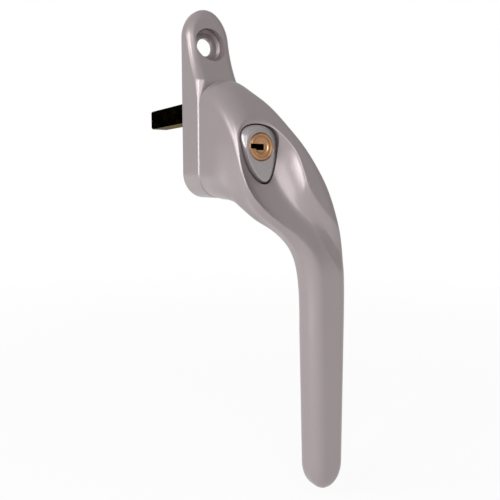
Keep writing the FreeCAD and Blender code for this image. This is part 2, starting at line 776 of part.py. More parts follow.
NODES = [
    "base_plate", "bearing_bush", "rear_cover",
    "detent_plunger_upper", "detent_plunger_lower",
    "detent_spring_upper", "detent_spring_lower",
    "lever", "spindle", "spindle_pin", "detent_cam", "retaining_clip",
    "barrel_sleeve", "button_spring",
    "lock_button", "lock_barrel", "locking_bolt", "stop_clip", "plug_pin",
    "lock_plug", "lock_wafers",
]
for item in doc.Objects:
    if "Invalid" in item.State or "Error" in item.State:
        raise RuntimeError("%s did not build: %s" % (item.Name, item.State))
for name in NODES:
    item = doc.getObject(name)
    item.Label = name
    shape = item.Shape
    if shape.isNull() or not shape.isValid():
        raise RuntimeError("%s has no valid shape" % name)
    print("%-22s solids %d volume %9.2f valid %s" % (name, len(shape.Solids), shape.Volume,
                                                     shape.isValid()))
    shape.exportStep("parts/%s.step" % name)
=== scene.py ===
import math
import bpy
import bmesh
import numpy as np
from mathutils import Matrix, Vector


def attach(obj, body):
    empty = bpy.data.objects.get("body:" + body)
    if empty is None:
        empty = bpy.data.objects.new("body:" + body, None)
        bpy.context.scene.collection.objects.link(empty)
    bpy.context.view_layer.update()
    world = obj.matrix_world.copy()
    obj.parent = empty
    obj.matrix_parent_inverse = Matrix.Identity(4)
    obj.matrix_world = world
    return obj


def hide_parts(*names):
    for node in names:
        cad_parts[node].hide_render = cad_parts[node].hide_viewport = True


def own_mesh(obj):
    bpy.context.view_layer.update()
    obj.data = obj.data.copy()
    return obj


# A silver cranked window fastener with a brass lock in its push button.
# Shapes are worked out in millimetres as (x, z, forward) and turned into metres at the end,
# where forward is the distance in front of the mounting face, so Y is minus forward.

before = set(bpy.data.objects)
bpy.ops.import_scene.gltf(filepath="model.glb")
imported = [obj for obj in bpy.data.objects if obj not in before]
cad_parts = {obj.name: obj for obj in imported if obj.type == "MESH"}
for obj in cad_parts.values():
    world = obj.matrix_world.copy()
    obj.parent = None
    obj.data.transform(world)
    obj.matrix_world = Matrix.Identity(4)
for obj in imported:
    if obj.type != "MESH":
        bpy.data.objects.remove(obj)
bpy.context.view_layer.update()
print("frame loaded:", len(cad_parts), "nodes")

# Camera, at the photograph's angle
cameraSet = {"azimuth": -31.4, "elevation": 6.78, "focal": 42.336, "distance": 0.21229,
             "aside": 0.01646, "height": -0.04898, "sensor": 36.0, "near": 0.01, "far": 20.0}

azimuth = math.radians(cameraSet["azimuth"])
elevation = math.radians(cameraSet["elevation"])
rightWay = Vector((math.cos(azimuth), math.sin(azimuth), 0.0))
backWay = Vector((math.sin(azimuth) * math.cos(elevation),
                  -math.cos(azimuth) * math.cos(elevation), math.sin(elevation)))
upWay = backWay.cross(rightWay)
lookAt = rightWay * cameraSet["aside"] + Vector((0, 0, cameraSet["height"]))
cameraData = bpy.data.cameras.new("viewCamera")
cameraData.lens = cameraSet["focal"]
cameraData.sensor_width = cameraSet["sensor"]
cameraData.clip_start = cameraSet["near"]
cameraData.clip_end = cameraSet["far"]
camera = bpy.data.objects.new("viewCamera", cameraData)
turned = Matrix((rightWay, upWay, backWay)).transposed().to_4x4()
camera.matrix_world = Matrix.Translation(lookAt + backWay * cameraSet["distance"]) @ turned
bpy.context.scene.collection.objects.link(camera)
bpy.context.scene.camera = camera
bpy.context.scene.view_settings.view_transform = "Standard"
print("camera placed")


# Mesh helpers
def spot(x, z, p):
    # millimetres across, up and forward, as metres in the frame
    return np.stack([x, -p, z], axis=-1) * 0.001


def placed(grid):
    # the same for an array of (x, z, forward) points
    return spot(grid[..., 0], grid[..., 1], grid[..., 2])


def addMesh(name, points, faces):
    mesh = bpy.data.meshes.new(name)
    mesh.from_pydata(points.tolist(), [], faces)
    mesh.update()
    piece = bpy.data.objects.new(name, mesh)
    bpy.context.scene.collection.objects.link(piece)
    return piece


def gridFaces(rows, columns, closeRows, closeColumns):
    # one quad between each pair of neighbouring rows and columns
    r = np.arange(rows if closeRows else rows - 1)
    c = np.arange(columns if closeColumns else columns - 1)
    rr, cc = np.meshgrid(r, c, indexing="ij")
    rn = (rr + 1) % rows
    cn = (cc + 1) % columns
    quads = np.stack([rr * columns + cc, rr * columns + cn, rn * columns + cn,
                      rn * columns + cc], axis=-1)
    return quads.reshape(-1, 4).tolist()


def gridPiece(name, points, closeRows=False, closeColumns=True, capStart=False, capEnd=False):
    # points[row, column] is the surface; caps close the first or last row with a fan
    rows, columns = points.shape[:2]
    faces = gridFaces(rows, columns, closeRows, closeColumns)
    flat = points.reshape(-1, 3)
    for wanted, row in ((capStart, 0), (capEnd, rows - 1)):
        if wanted:
            middle = len(flat)
            flat = np.vstack([flat, points[row].mean(axis=0)])
            ring = row * columns + np.arange(columns)
            faces += np.column_stack([ring, np.roll(ring, -1),
                                      np.full(columns, middle)]).tolist()
    piece = addMesh(name, flat, faces)
    tidy(piece)
    return piece


def tidy(piece):
    # merges seams and poles, drops what collapsed and points the faces outwards
    work = bmesh.new()
    work.from_mesh(piece.data)
    bmesh.ops.remove_doubles(work, verts=work.verts, dist=1e-7)
    bmesh.ops.dissolve_degenerate(work, edges=work.edges, dist=1e-8)
    bmesh.ops.recalc_face_normals(work, faces=work.faces)
    work.to_mesh(piece.data)
    work.free()


def soften(piece, degrees):
    # smooth shading that breaks at edges sharper than this
    piece.data.polygons.foreach_set("use_smooth", [True] * len(piece.data.polygons))
    piece.data.set_sharp_from_angle(angle=math.radians(degrees))


def combine(piece, tool, operation):
    # joins the tool to the piece or takes it out, then deletes the tool
    change = piece.modifiers.new("combine", "BOOLEAN")
    change.operation = operation
    change.solver = "EXACT"
    change.object = tool
    bpy.context.view_layer.objects.active = piece
    bpy.ops.object.modifier_apply(modifier=change.name)
    bpy.data.objects.remove(tool)


def carve(piece, *tools):
    for tool in tools:
        combine(piece, tool, "DIFFERENCE")


def spun(name, profile, x, z, steps=128, closed=False):
    # a profile of (radius, forward) pairs turned round an axis at x, z
    radius, forwardBy = np.array(profile).T
    turn = np.linspace(0, 2 * math.pi, steps, endpoint=False)
    px = x + radius[:, None] * np.cos(turn)
    pz = z + radius[:, None] * np.sin(turn)
    pp = np.repeat(forwardBy[:, None], steps, axis=1)
    return gridPiece(name, spot(px, pz, pp), closeRows=closed)


def peg(name, radius, rear, front, x=0.0, z=0.0, steps=128):
    # a plain round rod along the forward way
    return spun(name, [(0, rear), (radius, rear), (radius, front), (0, front)], x, z, steps)


def block(name, low, high):
    # a box between two corners given as (x, z, forward)
    x0, z0, p0 = low
    x1, z1, p1 = high
    ring = np.array([[x0, z0], [x1, z0], [x1, z1], [x0, z1]])
    rows = np.stack([np.column_stack([ring, np.full(4, p)]) for p in (p0, p1)])
    return gridPiece(name, placed(rows), capStart=True, capEnd=True)


def prism(name, outline, rear, front):
    # an outline of (x, z) points carried from rear to front
    rows = np.stack([np.column_stack([outline, np.full(len(outline), p)])
                     for p in (rear, front)])
    return gridPiece(name, placed(rows), capStart=True, capEnd=True)


def smoothCurve(values, per):
    # natural cubic spline through the values at 0, 1, 2 ..., with per[i] steps in span i
    values = np.asarray(values, float)
    n = len(values)
    flat = values.reshape(n, -1)
    system = np.eye(n)
    for i in range(1, n - 1):
        system[i, i - 1:i + 2] = (1, 4, 1)
    want = np.zeros_like(flat)
    want[1:-1] = 6 * (flat[2:] - 2 * flat[1:-1] + flat[:-2])
    bend = np.linalg.solve(system, want)
    rows = []
    for i in range(n - 1):
        t = (np.arange(per[i]) / per[i])[:, None]
        a, b = flat[i], flat[i + 1]
        slope = b - a - (2 * bend[i] + bend[i + 1]) / 6
        rows.append(a + t * (slope + t * (bend[i] / 2 + t * (bend[i + 1] - bend[i]) / 6)))
    rows.append(flat[-1:])
    return np.vstack(rows).reshape(-1, *values.shape[1:])


# The lock's axis and front, and the outlines that the button shares with its pocket
lock = {"x": 1.4, "z": -13.9, "face": 36.0, "barrel": 4.3, "plug": 4.0}
button = {"depth": 5.5, "wallTop": 33.4, "edge": 0.35, "gap": 0.35, "pocketFloor": 23.1,
          "boreGap": 0.02, "rimGap": 0.1, "rimDrop": 0.12, "slopePower": 0.9,
          "wallRows": 5, "slopeRows": 12, "edgeRows": 8, "faceRows": 7,
          "foot": {"middle": -16.0, "high": 8.9, "wide": 6.2, "grow": 1.6, "top": 2.3,
                   "toe": 0.5, "aside": 1.75},
          "crown": {"middle": -16.7, "high": 7.8, "wide": 4.7, "grow": 1.3, "top": 1.7,
                    "toe": 0.3, "aside": 1.35}, "lean": -0.95, "sweep": 0.6}


def egg(shape, extra=0.0, steps=180):
    # height runs as a sine, width as a cosine that swells towards the top, and the middle
    # line leans; the extra moves each point out along the outline's normal
    turn = np.linspace(0, 2 * math.pi, steps, endpoint=False)
    s, c = np.sin(turn), np.cos(turn)
    bulge = np.where(s > 0, shape["top"], shape["toe"])
    wide = c * (shape["wide"] + shape["grow"] * s + bulge * s * s)
    x = shape["aside"] + button["lean"] * s + button["sweep"] * s * s + wide
    z = shape["middle"] + shape["high"] * s
    ring = np.column_stack([x, z])
    way = np.roll(ring, -1, axis=0) - np.roll(ring, 1, axis=0)
    way /= np.linalg.norm(way, axis=1, keepdims=True)
    return ring + extra * np.column_stack([way[:, 1], -way[:, 0]])


# Castings are shaded smooth up to this angle between faces, turned pieces up to the next
castingCrease = 34
turnedCrease = 25

# Lever: rounded sections carried along the crank, with the thumb recess pressed in
lever = {
    "half": 8.0, "rootTop": 8.0, "rootLow": -30.0, "foot": 12.5, "footEdge": 0.7,
    "gripRear": 32.5, "gripThick": 11.0, "corner": 4.3,
    "gripCentre": 23.9, "gripStart": 73.0, "gripHalf": 7.2,
    "endCentre": 24.7, "endStart": 118.0, "endHalf": 6.4, "endRise": 9.99,
    "endPower": 2.4, "endFlat": 0.25, "endCorner": 0.78, "endLeast": 0.02, "cornerTrim": 0.05,
    "spans": [18] + [26] * 8 + [18, 14, 12], "footRows": 9, "gripRows": 40, "endRows": 26,
    "counts": [(26, 78), (26, 16), (12, 20), (12, 16)],
    "stations": [
        [(-8, 8.0, 18.5), (8.2, 8.0, 18.5), (8.2, -30.3, 17), (-8, -30.3, 17), 7.8],
        [(-8, 5.0, 24.0), (9.2, 5.0, 24.0), (9.2, -30.4, 21), (-8, -30.4, 21), 7.5],
        [(-8, 0.6, 29.0), (11.9, 0.7, 29.0), (12.0, -31.0, 25), (-7.0, -31.0, 25), 7.0],
        [(-8, -5.2, 34.0), (15.2, -5.6, 33.6), (15.4, -32.2, 27.6), (-5.6, -31.8, 27.4), 6.5],
        [(-8, -12.0, 37.5), (19.0, -11.4, 36.8), (18.2, -34.0, 29.4), (-4.2, -33.0, 29.2), 6.0],
        [(-8, -19.3, 39.9), (22.0, -17.3, 39.3), (20.9, -36.3, 30.7), (-1.4, -34.9, 30.5), 5.4],
        [(-6.8, -27.0, 41.6), (24.9, -23.4, 41.0), (23.3, -38.9, 31.6), (2.5, -37.3, 31.3), 4.9],
        [(-1.2, -33.6, 42.5), (26.8, -29.4, 42.1), (25.6, -42.1, 32.1), (7.7, -40.2, 31.9), 4.5],
        [(6.6, -39.7, 43.0), (28.6, -36.4, 42.8), (27.8, -46.5, 32.4), (12.5, -44.6, 32.3), 4.3],
        [(12.9, -47.2, 43.3), (30.1, -45.0, 43.2), (29.9, -52.0, 32.5), (15.4, -51.0, 32.5), 4.3],
        [(16.0, -58.5, 43.5), (30.9, -57.5, 43.5), (30.9, -61.5, 32.5), (16.5, -61.0, 32.5), 4.3],
    ],
}

# Hub and bores on the lever's hidden side
bores = {"hub": 5.7, "hubEnd": 4.5, "hubFront": 14.0, "hubSides": 64,
         "clip": 4.2, "clipRear": 12.0, "clipFront": 16.75, "bolt": 2.15,
         "sleeve": 5.84, "sleeveRear": 17.75, "sleeveFront": 24.0, "sides": 96,
         "socket": 3.5, "socketRear": 3.0, "socketFront": 15.5, "pocketFront": 50.0}

# Thumb recess, one row for every 5 mm down: left rim (x, forward), lowest line (x, forward),
# right rim (x, forward). The left wall grows steeper on the way down, the rims are softened,
# more so at the open right end, and the floor fades out past both ends of the table.
recess = {
    "first": -4.0, "step": 5.0, "fine": 40,
    "leftPower": (2.3, 5.0), "steepFrom": -20.0, "steepOver": 16.0, "rightPower": 2.1,
    "fade": 0.009, "fadeFrom": -46.0, "fadeTop": -6.0, "fadeTopGain": 12.0,
    "rimSoft": 0.6, "openSoft": 4.0, "openFrom": -24.0, "openOver": 10.0,
    "sideFrom": 9.0, "sideLevel": 28.0, "sideLean": 0.7, "sideOver": 5.0,
    "rows": [
        [-5.0, 34.6, 0.5, 34.0, 4.5, 34.8], [-5.8, 34.4, 2.0, 33.4, 7.8, 35.7],
        [-6.42, 35.8, 3.0, 32.9, 12.0, 38.05], [-6.45, 36.9, 4.0, 33.2, 13.75, 39.85],
        [-5.4, 37.95, 5.2, 34.6, 14.8, 41.15], [-3.1, 39.2, 7.2, 36.7, 16.2, 42.3],
        [1.6, 39.85, 10.8, 38.9, 19.0, 43.3], [7.6, 40.4, 15.0, 40.8, 23.5, 43.7],
        [11.8, 40.45, 18.4, 42.3, 27.0, 43.8], [14.3, 40.5, 20.8, 43.1, 28.0, 43.8],
        [15.6, 40.2, 22.2, 43.4, 29.0, 43.8], [16.1, 39.9, 23.0, 43.6, 29.5, 43.8],
        [16.3, 39.8, 23.4, 43.8, 29.5, 43.9],
    ],
}


def ringPoints(corners, radius, counts):
    # corners[row, 4, 3] and radius[row] give a rounded four-sided ring for every row
    before = np.roll(corners, 1, axis=1)
    after = np.roll(corners, -1, axis=1)
    inward = before - corners
    inward /= np.linalg.norm(inward, axis=-1, keepdims=True)
    outward = after - corners
    outward /= np.linalg.norm(outward, axis=-1, keepdims=True)
    opening = np.arccos(np.clip((inward * outward).sum(-1), -1, 1))
    radius = np.asarray(radius)[:, None]
    setback = radius / np.tan(opening / 2)
    reach = setback - radius * 4 / 3 * np.tan((math.pi - opening) / 4)
    poles = [corners + inward * setback[..., None], corners + inward * reach[..., None],
             corners + outward * reach[..., None], corners + outward * setback[..., None]]
    parts = []
    for i in range(4):
        bendCount, runCount = counts[i]
        t = np.linspace(0, 1, bendCount)[None, :, None]
        p0, p1, p2, p3 = [pole[:, i, None, :] for pole in poles]
        parts.append((1 - t) ** 3 * p0 + 3 * t * (1 - t) ** 2 * p1 + 3 * t * t * (1 - t) * p2
                     + t ** 3 * p3)
        t = np.linspace(0, 1, runCount + 2)[None, 1:-1, None]
        following = poles[0][:, (i + 1) % 4, None, :]
        parts.append(p3 + (following - p3) * t)
    return np.concatenate(parts, axis=1)


def rootCorners(inset, depth):
    # four corners and a corner radius where the lever stands on the base
    half = lever["half"] - inset
    top = lever["rootTop"] - inset
    low = lever["rootLow"] + inset
    return [(-half, top, depth), (half, top, depth), (half, low, depth), (-half, low, depth),
            half - lever["cornerTrim"]]


def gripCorners(centre, drop, halfWidth, halfDepth, radius):
    # the same across the grip, at a distance below the spindle
    middle = lever["gripRear"] + lever["gripThick"] / 2
    front, rear = middle + halfDepth, middle - halfDepth
    return [(centre - halfWidth, -drop, front), (centre + halfWidth, -drop, front),
            (centre + halfWidth, -drop, rear), (centre - halfWidth, -drop, rear), radius]


def recessFloor(points):
    # from its lowest line the floor climbs to each rim as a power of the distance across
    rows = recess["rows"]
    table = smoothCurve(rows, [recess["fine"]] * (len(rows) - 1))
    levels = recess["first"] - recess["step"] * np.arange(len(table)) / recess["fine"]
    x, z = points[..., 0], points[..., 1]
    leftX, leftP, lowX, lowP, rightX, rightP = [
        np.interp(-z, -levels, table[:, i]) for i in range(6)]
    across = x - lowX
    left = np.maximum(-across, 0) / (lowX - leftX)
    right = np.maximum(across, 0) / (rightX - lowX)
    fade = recess["fade"] * (np.maximum(recess["fadeFrom"] - z, 0) ** 2
                             + recess["fadeTopGain"] * np.maximum(z - recess["fadeTop"], 0) ** 2)
    first, last = recess["leftPower"]
    steeper = first + (last - first) * np.clip((recess["steepFrom"] - z) / recess["steepOver"],
                                               0, 1)
    return (lowP + (leftP - lowP) * left ** steeper
            + (rightP - lowP) * right ** recess["rightPower"] + fade)


def leverRings():
    # ring corners glide on smooth tracks through the stations
    foot, edge = lever["foot"], lever["footEdge"]
    depth = lever["gripThick"] / 2
    stations = [rootCorners(0, foot + edge)] + lever["stations"]
    stations.append(gripCorners(lever["gripCentre"], lever["gripStart"], lever["gripHalf"],
                                depth, lever["corner"]))
    corners = np.array([s[:4] for s in stations], float)
    radius = np.array([s[4] for s in stations], float)
    per = lever["spans"]
    rows = smoothCurve(corners, per)
    where = np.concatenate([i + np.arange(n) / n for i, n in enumerate(per)] + [[len(per)]])
    radii = np.interp(where, np.arange(len(radius)), radius)

    turn = np.linspace(0, math.pi / 2, lever["footRows"])[:-1]
    footRows = [rootCorners(edge * (1 - math.sin(a)), foot + edge * (1 - math.cos(a)))
                for a in turn]
    grip = []
    for share in np.linspace(0, 1, lever["gripRows"])[1:]:
        half = lever["gripHalf"] + (lever["endHalf"] - lever["gripHalf"]) * share
        grip.append(gripCorners(
            lever["gripCentre"] + (lever["endCentre"] - lever["gripCentre"]) * share,
            lever["gripStart"] + (lever["endStart"] - lever["gripStart"]) * share,
            half, depth, lever["corner"]))
    for angle in np.linspace(0, math.pi / 2, lever["endRows"])[1:]:
        share = math.sin(angle)
        shrink = math.sqrt(max(1 - share ** lever["endPower"], 0))
        halfWidth = max(lever["endHalf"] * shrink, lever["endLeast"])
        halfDepth = depth * (lever["endFlat"] + (1 - lever["endFlat"]) * shrink)
        grip.append(gripCorners(lever["endCentre"], lever["endStart"]
                                + lever["endRise"] * share, halfWidth, halfDepth,
                                min(lever["corner"],
                                    lever["endCorner"] * min(halfWidth, halfDepth))))
    allCorners = np.concatenate([np.array([r[:4] for r in footRows], float), rows,
                                 np.array([r[:4] for r in grip], float)])
    allRadii = np.concatenate([[r[4] for r in footRows], radii, [r[4] for r in grip]])
    return ringPoints(allCorners, allRadii, lever["counts"])


def buildLever():
    # the recess is a soft minimum of the rings and its own floor
    rings = leverRings()
    floor = recessFloor(rings)
    x, z, p = rings[..., 0], rings[..., 1], rings[..., 2]
    lowEnd = np.clip((recess["openFrom"] - z) / recess["openOver"], 0, 1)
    rightSide = np.clip((x - recess["sideFrom"] + (z + recess["sideLevel"]) * recess["sideLean"])
                        / recess["sideOver"], 0, 1)
    soft = recess["rimSoft"] + recess["openSoft"] * (lowEnd ** 2 * (3 - 2 * lowEnd)) * rightSide
    near = np.clip(1 - np.abs(p - floor) / soft, 0, 1)
    pressed = np.minimum(p, floor) - near ** 2 * soft / 4
    piece = gridPiece("lever_casting", spot(x, z, pressed), capStart=True, capEnd=True)
    combine(piece, peg("hubTool", bores["hub"], bores["hubEnd"], bores["hubFront"],
                       steps=bores["hubSides"]), "UNION")
    steps = [(0, bores["clipRear"]), (bores["clip"], bores["clipRear"]),
             (bores["clip"], bores["clipFront"]), (bores["bolt"], bores["clipFront"]),
             (bores["bolt"], bores["sleeveRear"]), (bores["sleeve"], bores["sleeveRear"]),
             (bores["sleeve"], bores["sleeveFront"]), (0, bores["sleeveFront"])]
    half = bores["socket"]
    carve(piece,
          prism("pocketTool", egg(button["foot"], button["gap"]), button["pocketFloor"],
                bores["pocketFront"]),
          spun("boreTool", steps, lock["x"], lock["z"], bores["sides"]),
          block("socketTool", (-half, -half, bores["socketRear"]),
                (half, half, bores["socketFront"])))
    soften(piece, castingCrease)
    return piece


leverPiece = buildLever()
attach(leverPiece, "lever")
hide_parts("lever")
print("lever made:", len(leverPiece.data.polygons), "faces")

# Base casting: outline, rounded edge and a top that slopes back into the fixing tab
base = {
    "half": 8.0, "top": 33.7, "topRise": 9.8, "topRadius": 6.6,
    "bottom": 30.0, "bottomRise": 8.4, "bottomRadius": 7.6, "depth": 12.2,
    "ramp": [(8.8, 12.2), (17.0, 7.7), (34.7, 4.2)],
    "edge": [(-40.0, 0.95), (2.5, 0.95), (8.8, 3.3), (12.0, 3.2), (24.0, 2.6), (40.0, 2.4)],
    "fixing": 21.5, "holeRadius": 3.0, "headRadius": 5.6, "seat": 1.3,
    "hollowHalf": 6.8, "hollowReach": 15.4, "hollowDepth": 4.3, "bore": 6.61,
    "flange": 7.2, "flangeSeat": 11.3, "boltRadius": 2.15, "boltFloor": 6.8,
    "seatRise": 0.5, "seatInset": 0.4, "seatCorner": 0.9, "below": -2.0, "above": 14.0,
    "tipSteps": 40, "sideSteps": 16, "straightSteps": 90,
    "wallRows": 8, "edgeRows": 15, "topRows": 12,
}


def baseHeight(z):
    # flat under the lever, then a circle's arc through three points
    (z0, p0), (z1, p1), (z2, p2) = base["ramp"]
    system = np.array([[z0, p0, 1], [z1, p1, 1], [z2, p2, 1]], float)
    a, b, c = np.linalg.solve(system, [-(z0 ** 2 + p0 ** 2), -(z1 ** 2 + p1 ** 2),
                                       -(z2 ** 2 + p2 ** 2)])
    zc, pc = -a / 2, -b / 2
    radius = math.sqrt(zc ** 2 + pc ** 2 - c)
    inside = np.sqrt(np.maximum(radius ** 2 - (z - zc) ** 2, 0))
    ramp = pc - inside if pc > p1 else pc + inside
    return np.where(z < z0, base["depth"], ramp)


def baseHalfOutline():
    # right half from the top tip to the bottom tip, with outward normals
    points, normals, straightEnd = [], [], []
    for rise, tip, level, sign in ((base["topRise"], base["topRadius"], base["top"], 1),
                                   (base["bottomRise"], base["bottomRadius"],
                                    base["bottom"], -1)):
        start = sign * (level - rise)
        reach = rise - tip
        half = base["half"]
        sideRadius = (half ** 2 + reach ** 2 - tip ** 2) / (2 * (half - tip))
        angle = math.atan2(reach, sideRadius - half)
        turn = np.linspace(math.pi / 2, angle, base["tipSteps"])
        tipArc = np.column_stack([tip * np.cos(turn), sign * (reach + tip * np.sin(turn))])
        turnSide = np.linspace(angle, 0, base["sideSteps"])[1:]
        sideArc = np.column_stack([half - sideRadius + sideRadius * np.cos(turnSide),
                                   sign * sideRadius * np.sin(turnSide)])
        arc = np.vstack([tipArc, sideArc]) + [0, start]
        normal = np.vstack([np.column_stack([np.cos(turn), sign * np.sin(turn)]),
                            np.column_stack([np.cos(turnSide), sign * np.sin(turnSide)])])
        points.append(arc if sign > 0 else arc[::-1])
        normals.append(normal if sign > 0 else normal[::-1])
        straightEnd.append(start)
    count = base["straightSteps"]
    side = np.linspace(straightEnd[0], straightEnd[1], count + 2)[1:-1]
    straight = np.column_stack([np.full(count, base["half"]), side])
    outline = np.vstack([points[0], straight, points[1]])
    normal = np.vstack([normals[0], np.tile([1.0, 0.0], (count, 1)), normals[1]])
    return outline, normal, straightEnd


def buildBase():
    # rings from the flat back up the wall, round the edge and in to the middle line
    outline, normal, ends = baseHalfOutline()
    outline = np.vstack([outline, outline[-2:0:-1] * [-1, 1]])
    normal = np.vstack([normal, normal[-2:0:-1] * [-1, 1]])
    spine = np.column_stack([np.zeros(len(outline)), np.clip(outline[:, 1], ends[1], ends[0])])
    edgeZ, edgeR = np.array(base["edge"]).T
    rounding = np.interp(outline[:, 1], edgeZ, edgeR)
    rows = [np.column_stack([spine, np.zeros(len(spine))])]
    rows.append(np.column_stack([outline, np.zeros(len(outline))]))
    foot = baseHeight(outline[:, 1]) - rounding
    for share in np.linspace(0, 1, base["wallRows"])[1:]:
        rows.append(np.column_stack([outline, foot * share]))
    for turn in np.linspace(0, math.pi / 2, base["edgeRows"])[1:]:
        ring = outline - normal * (rounding * (1 - math.cos(turn)))[:, None]
        height = baseHeight(ring[:, 1]) - rounding * (1 - math.sin(turn))
        rows.append(np.column_stack([ring, height]))
    inner = outline - normal * rounding[:, None]
    for share in np.linspace(0, 1, base["topRows"])[1:]:
        ring = inner + (spine - inner) * share
        rows.append(np.column_stack([ring, baseHeight(ring[:, 1])]))
    piece = gridPiece("base_casting", placed(np.stack(rows)))
    reach, half = base["hollowReach"], base["hollowHalf"]
    below, above = base["below"], base["above"]
    carve(piece,
          block("hollowTool", (-half, -reach, below / 2), (half, reach, base["hollowDepth"])),
          peg("boreTool", base["bore"], below, above),
          peg("flangeTool", base["flange"], base["flangeSeat"], above),
          peg("boltTool", base["boltRadius"], base["boltFloor"], above, lock["x"], lock["z"]))
    # the seat under a screw's head stands a little higher towards the hole
    seat, head, corner = base["seat"], base["headRadius"], base["seatCorner"]
    raised = seat + base["seatRise"]
    steps = [(0, raised), (base["holeRadius"] - base["seatInset"], raised),
             (head - corner, seat), (head, seat + corner), (head, above), (0, above)]
    for z in (base["fixing"], -base["fixing"]):
        carve(piece, spun("headTool", steps, 0, z),
              peg("holeTool", base["holeRadius"], below, above, 0, z))
    soften(piece, castingCrease)
    return piece


basePiece = buildBase()
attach(basePiece, "base")
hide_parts("base_plate")
print("base made:", len(basePiece.data.polygons), "faces")


# Push button: egg-shaped foot, sloping flank and a flat crown bored for the barrel
def buildButton():
    # rings from the bore's rear out to the foot, up the flank and in over the crown
    face, depth, edge = lock["face"], button["depth"], button["edge"]
    centre = np.array([lock["x"], lock["z"]])
    foot, crown = egg(button["foot"]), egg(button["crown"])
    angle = np.arctan2(crown[:, 1] - centre[1], crown[:, 0] - centre[0])

    def boreRing(radius):
        return centre + radius * np.column_stack([np.cos(angle), np.sin(angle)])

    def level(ring, p):
        return np.column_stack([ring, np.full(len(ring), p)])

    bore = boreRing(lock["barrel"] + button["boreGap"])
    rows = [level(bore, face - depth), level(foot, face - depth)]
    for share in np.linspace(0, 1, button["wallRows"])[1:]:
        rows.append(level(foot, face - depth + (button["wallTop"] - face + depth) * share))
    for share in np.linspace(0, 1, button["slopeRows"])[1:]:
        out = math.cos(share * math.pi / 2) ** button["slopePower"]
        rows.append(level(crown + (foot - crown) * out,
                          button["wallTop"] + (face - edge - button["wallTop"]) * share))
    for turn in np.linspace(0, math.pi / 2, button["edgeRows"])[1:]:
        rows.append(level(egg(button["crown"], -edge * (1 - math.cos(turn))),
                          face - edge * (1 - math.sin(turn))))
    inset = egg(button["crown"], -edge)
    rim = boreRing(lock["barrel"] + button["rimGap"])
    for share in np.linspace(0, 1, button["faceRows"])[1:]:
        rows.append(level(inset + (rim - inset) * share, face))
    rows.append(level(bore, face - button["rimDrop"]))
    piece = gridPiece("button_casting", placed(np.stack(rows)), closeRows=True)
    soften(piece, castingCrease)
    return piece


buttonPiece = buildButton()
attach(buttonPiece, "lock_button")
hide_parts("lock_button")

# Lock barrel and plug, turned from brass
brassSet = {"rimChamfer": 0.12, "dishRadius": 2.4, "dishDepth": 0.4, "ringRadius": 3.5,
            "ringDepth": 0.08, "keyLeft": 3.8, "keyRight": 1.1, "keyHigh": 0.9,
            "keyLow": 0.62, "wardLeft": 1.6, "wardLow": 1.0, "keyDepth": 11.0,
            "wardInset": 0.01, "wardOverlap": 0.2, "keyFront": 40.0,
            "barrelRear": 21.36, "floor": 23.6, "boreGap": 0.05, "boreLip": 0.08,
            "play": 0.01, "plugLength": 12.49, "dishFlat": 0.35, "dishFoot": 0.1,
            "dishRim": 0.06, "ringHalf": 0.1, "plugChamfer": 0.1}


def buildBarrel():
    # ring profile: bore, face and outer wall, closed at the rear
    face, cut = lock["face"], brassSet["rimChamfer"]
    outer, inner = lock["barrel"] - brassSet["play"], lock["plug"] + brassSet["boreGap"]
    rear, floor, lip = brassSet["barrelRear"], brassSet["floor"], brassSet["boreLip"]
    profile = [(inner, floor), (inner, face - lip), (inner + lip, face), (outer - cut, face),
               (outer, face - cut), (outer, rear), (0, rear), (0, floor)]
    piece = spun("barrel_turned", profile, lock["x"], lock["z"], closed=True)
    soften(piece, turnedCrease)
    return piece


def buildPlug():
    # face with a shallow ring and a dish round the keyway
    face = lock["face"]
    dish, depth = brassSet["dishRadius"], brassSet["dishDepth"]
    ring, low = brassSet["ringRadius"], brassSet["ringDepth"]
    radius, rear = lock["plug"] - brassSet["play"], face - brassSet["plugLength"]
    foot, rim = brassSet["dishFoot"], brassSet["dishRim"]
    half, chamfer = brassSet["ringHalf"], brassSet["plugChamfer"]
    profile = [(0, face - depth), (dish - brassSet["dishFlat"], face - depth),
               (dish - foot, face - depth + foot), (dish, face - rim), (dish + rim, face),
               (ring - half, face), (ring, face - low), (ring + half, face),
               (radius - chamfer, face), (radius, face - chamfer), (radius, rear), (0, rear)]
    piece = spun("plug_turned", profile, lock["x"], lock["z"])
    deep = face - brassSet["keyDepth"]
    high, under = lock["z"] + brassSet["keyHigh"], lock["z"] - brassSet["keyLow"]
    left, right = lock["x"] - brassSet["keyLeft"], lock["x"] + brassSet["keyRight"]
    front, inset = brassSet["keyFront"], brassSet["wardInset"]
    carve(piece, block("keyTool", (left, under, deep), (right, high, front)),
          block("wardTool", (lock["x"] - brassSet["wardLeft"],
                             lock["z"] - brassSet["wardLow"], deep + inset),
                (right - inset, under + brassSet["wardOverlap"], front)))
    soften(piece, turnedCrease)
    return piece


barrelPiece = buildBarrel()
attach(barrelPiece, "lock_button")
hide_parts("lock_barrel")
plugPiece = buildPlug()
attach(plugPiece, "lock_plug")
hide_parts("lock_plug")

# Spring behind the button: it rides on the lever
spring = {"wire": 0.28, "radius": 5.65, "turns": 4.5, "rear": 23.15, "front": 30.45,
          "travel": 3.5, "closed": 0.6, "steps": 420, "sides": 12}


